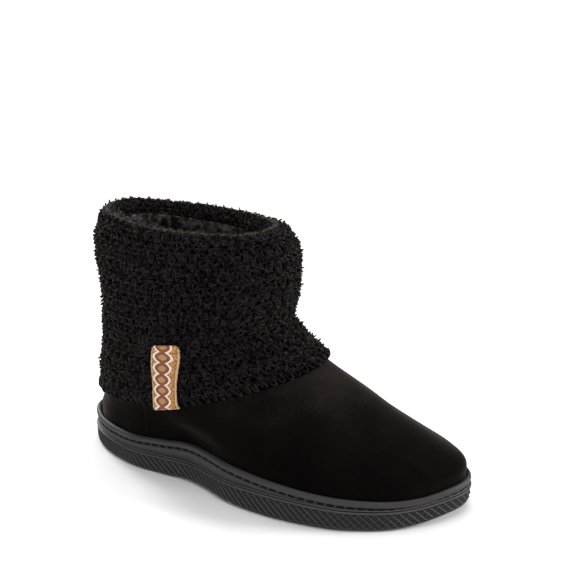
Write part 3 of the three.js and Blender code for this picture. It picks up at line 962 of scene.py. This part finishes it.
def cuff_rows():
    """Rows of the cuff's visible face: from the hem up, over the roll and a little way in."""
    turns = np.linspace(0, TURN, 361)
    reach = cuff_face(COLLAR_RING)
    inside = -UPPER_WALL - GAP - TURN_IN_THICKNESS
    middle = (reach + inside) / 2
    face = np.linspace(HEM_RING, COLLAR_RING, 70)
    crest = np.radians(np.linspace(8, 172, 25))
    turn_in = np.linspace(COLLAR_RING, COLLAR_RING - 1, 7)
    levels = np.concatenate([face, COLLAR_RING + 0 * crest, turn_in])
    outs = [cuff_face(face), middle + (reach - middle) * np.cos(crest), inside + 0 * turn_in]
    ups = [0 * face, GAP + ROLL_RISE * np.sin(crest), 0 * turn_in]
    slump = 1 + 0.1 * np.exp((np.cos(turns) - 1) / 0.15) - 0.15 * clamp(-np.sin(turns))
    up = np.concatenate(ups)[:, None] * slump
    points = beside_skin(levels[:, None], turns, np.concatenate(outs)[:, None], up)
    points = evenly(points, 181)
    return evenly(points.transpose(1, 0, 2), 449).transpose(1, 0, 2)


def cuff_form():
    """The cuff's face: soft lumps, staggered like moss stitch, and flat under tab and label."""
    points = cuff_rows()
    normals = normals_of(points)
    u, v = shares_over(points)
    tall = mean_height(points)
    lumps = 0.3 * np.sin(TURN * (5 * u + 1.3 * v)) * np.sin(TURN * (2.2 * v + 0.1))
    lumps = lumps + 0.3 * np.sin(TURN * (11 * u - 2.1 * v + 0.3)) * np.sin(TURN * 3.7 * v)
    moss = MOSS_RELIEF * np.cos(TURN * MOSS_LUMPS * u) * np.cos(TURN * v * tall / MOSS_PITCH)
    lumps = lumps + moss * clamp((v - 0.03) / 0.03)
    x, y, z = points[..., 0], points[..., 1], points[..., 2]
    tab = clamp((TAB_WIDTH / 2 + 1 - np.abs(x - TAB_MIDDLE)) / 2)
    tab = tab * clamp((TAB_TOP + 2 - z) / 3) * (y < 0)
    label = clamp((LABEL_WIDTH / 2 + 2 - np.abs(y)) / 2) * (x < 0)
    label *= clamp((z - LABEL_BOTTOM + 2) / 2) * clamp((LABEL_TOP + 2 - z) / 2)
    pressed = np.maximum(tab, label)
    points = points + normals * (lumps * (1 - pressed) - 0.7 * pressed)[..., None]
    return points, normals_of(points)


def make_cuff_body(form):
    """The knit's ground behind its stitches, closed round the upper's edge."""
    points, normals = form
    behind = 2.3
    face = (points - normals * behind)[::2, ::2]
    turns = np.linspace(0, TURN, face.shape[1])
    inside = -UPPER_WALL - GAP
    levels = np.linspace(COLLAR_RING, HEM_RING, 16)[:, None]
    back = [
        beside_skin(COLLAR_RING - 1, turns, inside)[None],
        beside_skin(COLLAR_RING, turns, inside, GAP)[None],
        beside_skin(COLLAR_RING, turns, GAP, GAP)[None],
        beside_skin(levels[1:], turns, GAP),
    ]
    return close_seams(lasted("knit_ground", np.concatenate([face, *back, face[:1]])))


def yarn_round(path, heading, angle, radius):
    """Points round a strand of yarn, from its middle line and its direction."""
    heading = unit(heading)
    side = unit(np.cross(heading, np.array([0.0, 0.0, 1.0])))
    front = np.cross(side, heading)
    swing = np.cos(angle)[:, None] * side + np.sin(angle)[:, None] * front
    return path + swing * np.expand_dims(radius, -1)


def uneven(course, u, stitches, spread):
    """A value that wanders from stitch to stitch along each course."""
    table = rng.normal(0, spread, (COURSES + 2, stitches))
    place = np.mod(u, 1) * stitches
    left = place.astype(int) % stitches
    t = place - np.floor(place)
    t = t * t * (3 - 2 * t)
    row = course.astype(int)
    return table[row, left] * (1 - t) + table[row, (left + 1) % stitches] * t


def make_knit(form, group):
    """Courses of loops, cut as straight strands and laid round the cuff one over another."""
    per_group = COURSES // COURSE_GROUPS
    strand = flat_piece(f"knit_courses_{group + 1}", STITCHES * STITCH_POINTS, 5)
    repeated(strand, per_group, (0, 2, 0))
    around = steps_of(form[0][60]).sum()
    tall = mean_height(form[0])
    wide = around / STITCHES
    pitch = tall * (KNIT_TOP - KNIT_BOTTOM) / COURSES
    height = 0.72 * pitch
    lean = 0.17 * wide

    def place(x, y, _):
        row = np.floor(y / 2 + 0.01)
        course = row + group * per_group
        angle = TURN * (y - 2 * row)
        phase = TURN * STITCHES * x
        side = 1 - 2 * np.mod(course, 2)
        path = [wide * phase / TURN + lean * np.sin(2 * phase)]
        path += [-height * side * np.cos(phase), YARN_DEPTH * np.cos(2 * phase)]
        heading = [wide / TURN + 2 * lean * np.cos(2 * phase)]
        heading += [height * side * np.sin(phase), -2 * YARN_DEPTH * np.sin(2 * phase)]
        radius = YARN * (1 + uneven(course, x, STITCHES, 0.12))
        points = yarn_round(np.stack(path, -1), np.stack(heading, -1), angle, radius)
        middle = KNIT_BOTTOM + (course + 0.5) / COURSES * (KNIT_TOP - KNIT_BOTTOM)
        v = middle + (points[:, 1] + uneven(course, x, STITCHES, 0.36)) / tall
        out = points[:, 2] - YARN_SUNK + uneven(course, x, STITCHES, 0.38)
        u = (points[:, 0] + uneven(course, x, STITCHES, 0.42)) / around
        return on_form(form, u, v, out)

    lay(strand, place)
    return close_seams(strand)


def make_hem(form):
    """The cast-on edge: one course of tall, narrow loops that hang to the hem."""
    strand = flat_piece("knit_hem", HEM_LOOPS * HEM_POINTS, 6)
    around = steps_of(form[0][0]).sum()
    tall = mean_height(form[0])
    wide = around / HEM_LOOPS

    def place(x, y, _):
        phase = TURN * HEM_LOOPS * x
        path = [wide * (phase + 0.5 * np.sin(2 * phase)) / TURN + HEM_LEAN * np.cos(phase)]
        path += [-HEM_HEIGHT * np.cos(phase), 0.7 * np.sin(phase)]
        heading = [wide * (1 + np.cos(2 * phase)) / TURN - HEM_LEAN * np.sin(phase)]
        heading += [HEM_HEIGHT * np.sin(phase), 0.7 * np.cos(phase)]
        row = np.zeros_like(x)
        radius = HEM_YARN * (1 + uneven(row, x, HEM_LOOPS, 0.12))
        points = yarn_round(np.stack(path, -1), np.stack(heading, -1), TURN * y, radius)
        up = points[:, 1] + HEM_HEIGHT + 0.4 + uneven(row, x, HEM_LOOPS, 0.35)
        hang = np.clip(-up, 0, 3)
        sway = uneven(row, x, HEM_LOOPS, 0.5)
        tuck = 1.3 * clamp(np.cos(phase)) ** 3 + 0.8 * clamp(-np.cos(phase)) ** 3
        out = points[:, 2] - 0.8 - tuck + uneven(row, x, HEM_LOOPS, 0.2)
        seat = on_form(form, (points[:, 0] + sway) / around, up / tall, out)
        return seat - np.array([0, 0, 1]) * hang[:, None]

    lay(strand, place)
    return close_seams(strand)


def lining_form():
    """The face of the plush lining: a fold at the heel's back, and locks that lie along it."""
    turns = np.linspace(0, TURN, 361)
    levels = np.linspace(COLLAR_RING, 8, 60)
    outs = np.interp(levels, [8, 13, 14, 15, 15.7, 16], [-5.5, -6.5, -7.5, -9.6, -9.2, -8.2])
    angle = np.degrees(np.mod(turns + math.pi, TURN) - math.pi)
    deep = clamp((15.9 - levels) / 0.9)[:, None]
    fold = 6 * bell(angle / 30, 4) * deep * clamp((levels - 11) / 2)[:, None]
    crease = 2.5 * bell((angle + 31) / 6) * deep
    points = beside_skin(levels[:, None], turns, outs[:, None] - fold + crease, 0)
    points = evenly(points, 91)
    u, v = shares_over(points)
    locks = np.sin(TURN * (13 * u + 2 * np.sin(11 * v))) * np.sin(TURN * (15 * v + u))
    normals = -normals_of(points[::-1])[::-1]
    points = points + normals * (2.2 * locks * clamp(v * 8))[..., None]
    return points, normals


def make_lining(form):
    """The plush inside the upper, with its backing, which passes behind the cuff's turned edge."""
    face = form[0][:, ::2]
    turns = np.linspace(0, TURN, face.shape[1])
    levels = np.linspace(8, COLLAR_RING, 16)[:, None]
    outs = np.interp(levels, [8, 14, 15, COLLAR_RING], [-3.4, -3.6, -8, -8])
    backing = beside_skin(levels, turns, outs)
    return close_seams(lasted("plush_lining", np.concatenate([face, backing, face[:1]])))


def plant(name, form, count, area, length, width, lean, combed):
    """Fibres on a form: one flat tapering blade, copied, and each one planted with its own lean."""
    low, high = area
    blade = flat_piece(name, 1, 2)
    per_row = 200
    rows = count // per_row
    repeated(blade, per_row, (2, 0, 0))
    repeated(blade, rows, (0, 2, 0))
    total = per_row * rows
    u = rng.random(total)
    v = low + (high - low) * rng.random(total)
    root = on_form(form, u, v, -0.5)
    normal = unit(on_form(form, u, v, 1.0) - root)
    along_form = unit(on_form(form, u + 0.004, v, -0.5) - root)
    heading = unit(normal + rng.normal(0, lean, (total, 3)) + combed * along_form)
    curl = rng.normal(0, 0.35, (total, 3))
    broad = unit(np.cross(heading, rng.normal(0, 1, (total, 3))))
    long = length * (0.45 + 0.75 * rng.random(total))

    def place(x, y, _):
        column = np.floor(x / 2 + 0.01)
        row = np.floor(y / 2 + 0.01)
        n = (row * per_row + column).astype(int)
        along = (y - 2 * row)[:, None]
        side = (x - 2 * column - 0.5)[:, None] * width * (1 - 0.8 * along)
        reach = long[n][:, None]
        return root[n] + reach * (along * heading[n] + along**2 * curl[n]) + side * broad[n]

    lay(blade, place)
    return blade


# What is sewn to the cuff


def strip(name, outer, inner):
    """A strip of cloth with two faces, closed at its ends, and its own map: across and along."""
    middle = (outer + inner) / 2
    outer = np.concatenate([middle[:1], outer, middle[-1:]])
    inner = np.concatenate([middle[:1], inner, middle[-1:]])
    rows = np.concatenate([outer, inner[:, ::-1], outer[:, :1]], axis=1)
    piece = lasted(name, rows)
    layer = piece.data.uv_layers.active.data
    spots = np.empty(len(layer) * 2, np.float32)
    layer.foreach_get("uv", spots)
    spots = spots.reshape(-1, 2)
    across = np.rint(spots[:, 0] * (rows.shape[1] - 1))
    wide = outer.shape[1] - 1
    spots[:, 0] = np.where(across <= wide, across, 2 * wide + 1 - across) / wide
    spots[:, 0] = clamp(spots[:, 0])
    layer.foreach_set("uv", spots.ravel())
    return close_seams(piece)


def level_at_height(height, turn_at):
    """The ring at which the skin reaches a height."""
    low, high = np.zeros_like(height), np.full_like(height, COLLAR_RING)
    for _ in range(30):
        middle = (low + high) / 2
        under = skin_point(middle, turn_at(middle))[..., 2] < height
        low, high = np.where(under, middle, low), np.where(under, high, middle)
    return low


def lateral_turn(level, x):
    """The turn at which a ring passes a station on the outer side."""
    back, front = ring_ends(level)
    return turn_of((x - back) / (front - back))


def make_tab():
    """The ribbon tab: down the cuff's outer side, round the hem and in under it."""
    shares = np.linspace(-0.5, 0.5, 25)
    rows = 61
    along = np.linspace(0, 1, rows)
    width = TAB_WIDTH * np.interp(along, [0, 0.12, 0.3, 0.6, 1], [0.92, 0.97, 0.97, 0.84, 0.9])
    middle = TAB_MIDDLE + np.interp(along, [0, 0.5, 1], [1.2, 0.3, 0.8])
    x = middle[:, None] + shares[None, :] * width[:, None]
    x += 1.2 * clamp(along[:, None] * 10 - 9) ** 2 * clamp(2 * shares)
    x += 0.16 * rng.normal(0, 1, (rows, 1)) * np.abs(2 * shares) ** 12
    rounding = 3 * clamp((shares - 0.3) / 0.2) ** 3 + 15 * clamp(-shares - 0.4)
    height = TAB_TOP + 3.5 * (shares + 0.5) - rounding + 0 * x
    top = level_at_height(height, lambda level: lateral_turn(level, x))
    level = top + (HEM_RING - top) * along[:, None]
    turn = lateral_turn(level, x)
    seat = cuff_face(level) + GAP
    buckle = 0.25 * np.sin(TURN * (along[:, None] * 2.2 + 0.1)) * np.cos(math.pi * shares)
    edge = 0.45 * (2 * np.abs(shares)) ** 8
    outer = beside_skin(level, turn, seat + TAB_THICKNESS + buckle - edge)
    inner = beside_skin(level, turn, seat + buckle)
    hem_turn = turn[-1]
    hem = seat[-1]
    outs = []
    ins = []
    outer_drop = 1.9
    inner_drop = 0.7
    for bend in np.radians(np.linspace(20, 90, 5)):
        s, c = math.sin(bend), math.cos(bend)
        outs.append(beside_skin(HEM_RING, hem_turn, hem + TAB_THICKNESS * c, -outer_drop * s))
        ins.append(beside_skin(HEM_RING, hem_turn, hem - 0.3 * (1 - c), -inner_drop * s))
    outs.append(beside_skin(HEM_RING, hem_turn, hem - TAB_RETURN, -outer_drop))
    ins.append(beside_skin(HEM_RING, hem_turn, hem - TAB_RETURN, -inner_drop))
    for row in (*outs, *ins):
        row[:, 0] = x[-1]
    for row in (outs[-1], ins[-1]):
        row[:, 0] -= 1.8 * clamp(2 * shares)
    outer = evenly(np.concatenate([outer, np.stack(outs)]), 91)
    inner = evenly(np.concatenate([inner, np.stack(ins)]), 91)
    return strip("ribbon_tab", outer[::-1], inner[::-1])


def make_label():
    """The bare label on the back, with its edges turned and stitched down."""
    heights = np.linspace(LABEL_BOTTOM, LABEL_TOP, 25)
    level = level_at_height(heights, lambda levels: 0 * levels)[:, None]
    seat = cuff_face(level) + 2 * GAP
    trial = np.linspace(0, 0.8, 41)
    aside = np.abs(beside_skin(level[12], trial, seat[12])[:, 1])
    reach = np.interp(LABEL_WIDTH / 2, aside, trial)
    shares = np.linspace(1, -1, 21)
    turns = reach * shares[None, :]
    edge = 0.35 * np.abs(shares[None, :]) ** 10
    outer = beside_skin(level, turns, seat + LABEL_THICKNESS - edge)
    inner = beside_skin(level, turns, seat)
    return strip("bare_label", outer[::-1], inner[::-1])


# Putting the shoe together

suede_sheen = dict(Sheen_Weight=0.22, Sheen_Roughness=0.35, Sheen_Tint=linear("#c4b4ac"))
yarn_sheen = dict(Sheen_Weight=0.18, Sheen_Roughness=0.35, Sheen_Tint=linear("#d8cdc8"))
suede_finish = material("buffed_suede", suede, 0.95, 0.02, **suede_sheen)
yarn_finish = material("brushed_wool_yarn", brushed_yarn, 0.9, 0.04, **yarn_sheen)
# The knit's ground is near black: painted shade for the holes between the stitches.
ground_shade_finish = material("knit_ground_painted_shade", knit_ground_shade, 1.0, 0.02)
fuzz_finish = material("acrylic_fuzz", loose_fibre, 0.8, 0.1)
crest_finish = material("crest_fuzz_painted_highlight", crest_highlight_fibre, 0.8, 0.1)
plush_finish = material("acrylic_plush", plush, 0.7, 0.15, Sheen_Weight=0.08)
rubber_finish = material("moulded_rubber", rubber, 0.55, 0.35)
thread_finish = material("waxed_thread", waxed_thread, 0.6, 0.1)
ribbon_finish = material("jacquard_ribbon", jacquard_ribbon, 0.85, 0.2, Sheen_Weight=0.1)
label_finish = material("cotton_twill", cotton_twill, 0.85, 0.2)

hand_over(make_outsole(), rubber_finish, "outsole", "outsole")
hand_over(make_band(), rubber_finish, "outsole")
hand_over(make_stitches(), thread_finish, "outsole")
hand_over(make_upper(), suede_finish, "upper", "upper")
insole = hand_over(make_insole(), plush_finish, "insole", "insole")

knit_form = cuff_form()
crest_row = knit_form[0][..., 2].mean(axis=1).argmax() / (len(knit_form[0]) - 1)
hand_over(make_cuff_body(knit_form), ground_shade_finish, "cuff", "cuff")
for group in range(COURSE_GROUPS):
    hand_over(make_knit(knit_form, group), yarn_finish, "cuff")
hand_over(make_hem(knit_form), yarn_finish, "cuff")
pile_form = lining_form()
hand_over(make_lining(pile_form), plush_finish, "upper")

near_crest = (crest_row - 0.016, crest_row + 0.01)
fuzz = plant("knit_fuzz", knit_form, 4000, (0.0, 0.98), 1.5, 0.08, 0.7, 0)
hand_over(fuzz, fuzz_finish, "cuff")
# The crest's pale fibres are a painted highlight along the roll.
crest = plant("crest_fibres", knit_form, 5000, near_crest, 1.7, 0.1, 0.6, 0)
hand_over(crest, crest_finish, "cuff")
pile = plant("plush_fibres", pile_form, 13000, (0.0, 0.6), 5, 0.4, 0.5, 2.0)
hand_over(pile, plush_finish, "upper")

ribbon = hand_over(make_tab(), ribbon_finish, "side_tab", "side_tab")
label = hand_over(make_label(), label_finish, "heel_label", "heel_label")


# Floor, light and camera

bpy.ops.object.select_all(action="DESELECT")
bpy.ops.mesh.primitive_plane_add(size=80)
floor = bpy.context.object
floor.name = "studio_floor"
floor.data.materials.append(material("painted_board", painted_board, 0.9, 0.05))


def soft_sun(name, azimuth, elevation, width, strength):
    """A wide, even light from one side of the sky, in degrees: 0 is the camera's side."""
    bpy.ops.object.light_add(type="SUN", location=(0, 0, 1))
    light = bpy.context.object
    light.name = name
    light.data.angle = math.radians(width)
    light.data.energy = strength
    light.rotation_mode = "QUATERNION"
    side, up = math.radians(azimuth), math.radians(elevation)
    away = Vector((math.sin(side), -math.cos(side), math.tan(up)))
    light.rotation_quaternion = away.to_track_quat("Z", "Y")


soft_sun("overhead_bank", 20, 74, 40, 1.1)
soft_sun("back_bank", 206, 72, 36, 0.9)
soft_sun("left_bank", 243, 25, 20, 2.4)
soft_sun("right_bank", 115, 22, 20, 2.8)
soft_sun("front_bank", 15, 8, 40, 1.1)

world = bpy.data.worlds.new("white_studio")
world.use_nodes = True
seen = add(world.node_tree, "ShaderNodeLightPath", {}, gives="Is Camera Ray")
shown = {0: seen, 1: 1 - SKY_LIGHT, 2: SKY_LIGHT}
sky = add(world.node_tree, "ShaderNodeMath", shown, operation="MULTIPLY_ADD")
world.node_tree.links.new(sky, world.node_tree.nodes["Background"].inputs["Strength"])
world.node_tree.nodes["Background"].inputs["Color"].default_value = (1, 1, 1, 1)
bpy.context.scene.world = world
bpy.context.scene.view_settings.view_transform = "Standard"

azimuth = math.radians(26.5)
elevation = math.radians(17.89)
roll = math.radians(0.31)
back = np.array([
    math.sin(azimuth) * math.cos(elevation),
    -math.cos(azimuth) * math.cos(elevation),
    math.sin(elevation),
])
level_x = unit(np.cross([0, 0, 1], back))
level_y = np.cross(back, level_x)
camera_x = math.cos(roll) * level_x + math.sin(roll) * level_y
camera_y = math.cos(roll) * level_y - math.sin(roll) * level_x
target = np.array([0.10741, 0, 0.13602])
distance = 0.59905
position = target + back * distance

bpy.ops.object.camera_add()
camera = bpy.context.object
camera.name = "photo_camera"
camera.data.sensor_width = 36
camera.data.lens = 62.02
camera.data.shift_y = -0.0162
camera.data.clip_end = 200
rows = np.stack([camera_x, camera_y, back, position], axis=1)
camera.matrix_world = Matrix([*rows.tolist(), [0, 0, 0, 1]])
bpy.context.scene.camera = camera
